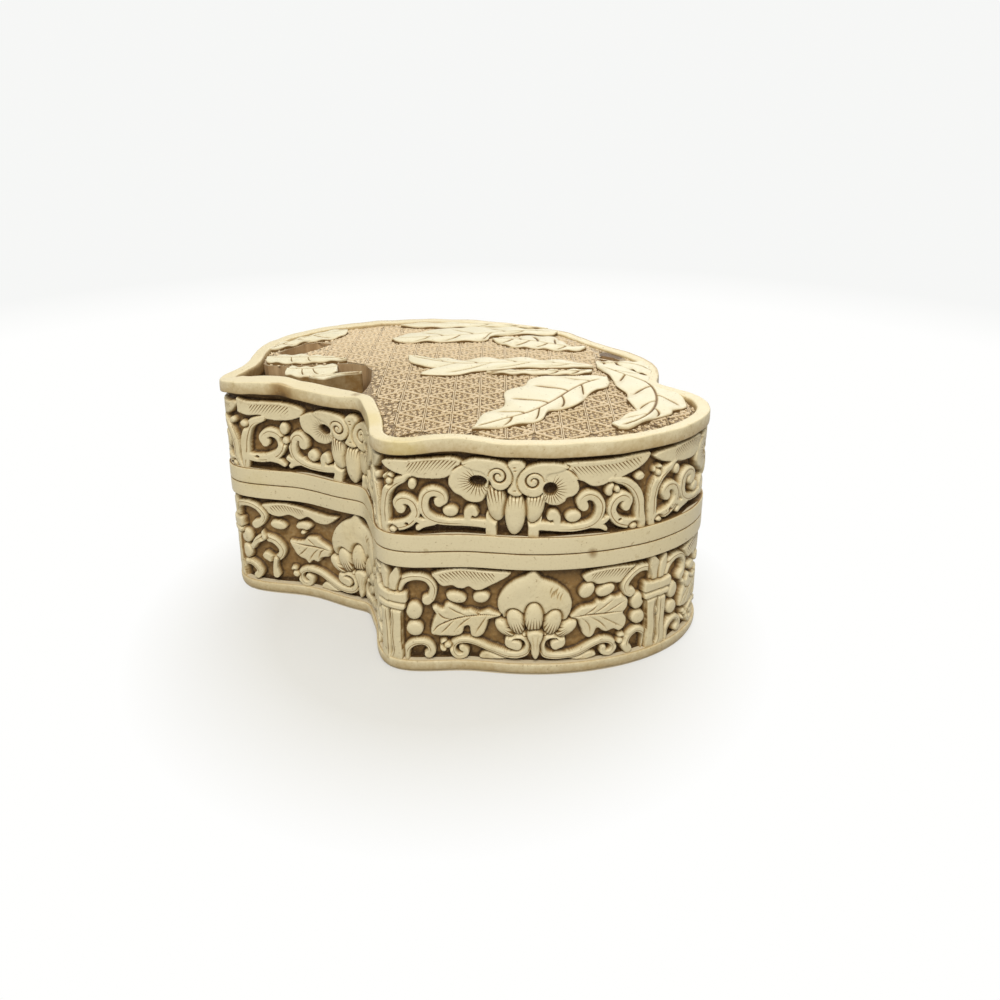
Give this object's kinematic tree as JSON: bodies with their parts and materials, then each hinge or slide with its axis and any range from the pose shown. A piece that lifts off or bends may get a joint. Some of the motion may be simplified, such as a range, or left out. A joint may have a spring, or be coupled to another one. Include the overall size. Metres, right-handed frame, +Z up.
{
  "type": "trinket box",
  "caption": "Trinket box shaped like overlapping peaches, carved all round with fruit, columns, scrolls and leaves, with a lift-off lid over a hollow tub for small things.",
  "frame": {"origin": "middle of the footprint's bounding rectangle, on the underside", "axes": "+Z up, -Y towards the front of the smaller peach, +X to the right"},
  "size_m": [0.1198, 0.1018, 0.0583],
  "materials": {
    "ivory_resin": "satin cast resin with brown patina in the recesses",
    "cream_relief": "satin cast resin, wiped pale on the crests",
    "tan_field": "satin cast resin stained tan-brown in a fine lattice"
  },
  "bodies": {
    "base": {"base_plinth": "ivory_resin", "base_wall": "ivory_resin", "base_columns": "cream_relief", "base_lotus": "cream_relief", "base_peaches": "cream_relief", "base_leaves": "cream_relief", "base_scrolls": "cream_relief", "base_feathers": "cream_relief", "base_beads": "cream_relief"},
    "lid": {"lid_shell": "ivory_resin", "lid_rim": "ivory_resin", "lid_field": "tan_field", "top_leaves": "cream_relief", "tip_leaves": "cream_relief", "lid_lotus": "cream_relief", "lid_shells": "cream_relief", "lid_scrolls": "cream_relief", "lid_feathers": "cream_relief", "lid_beads": "cream_relief"}
  },
  "joints": [
    {"name": "lid_lift", "type": "slide", "parent": "base", "child": "lid", "axis": [0, 0, 1], "range_m": [0, 0.06]}
  ]
}
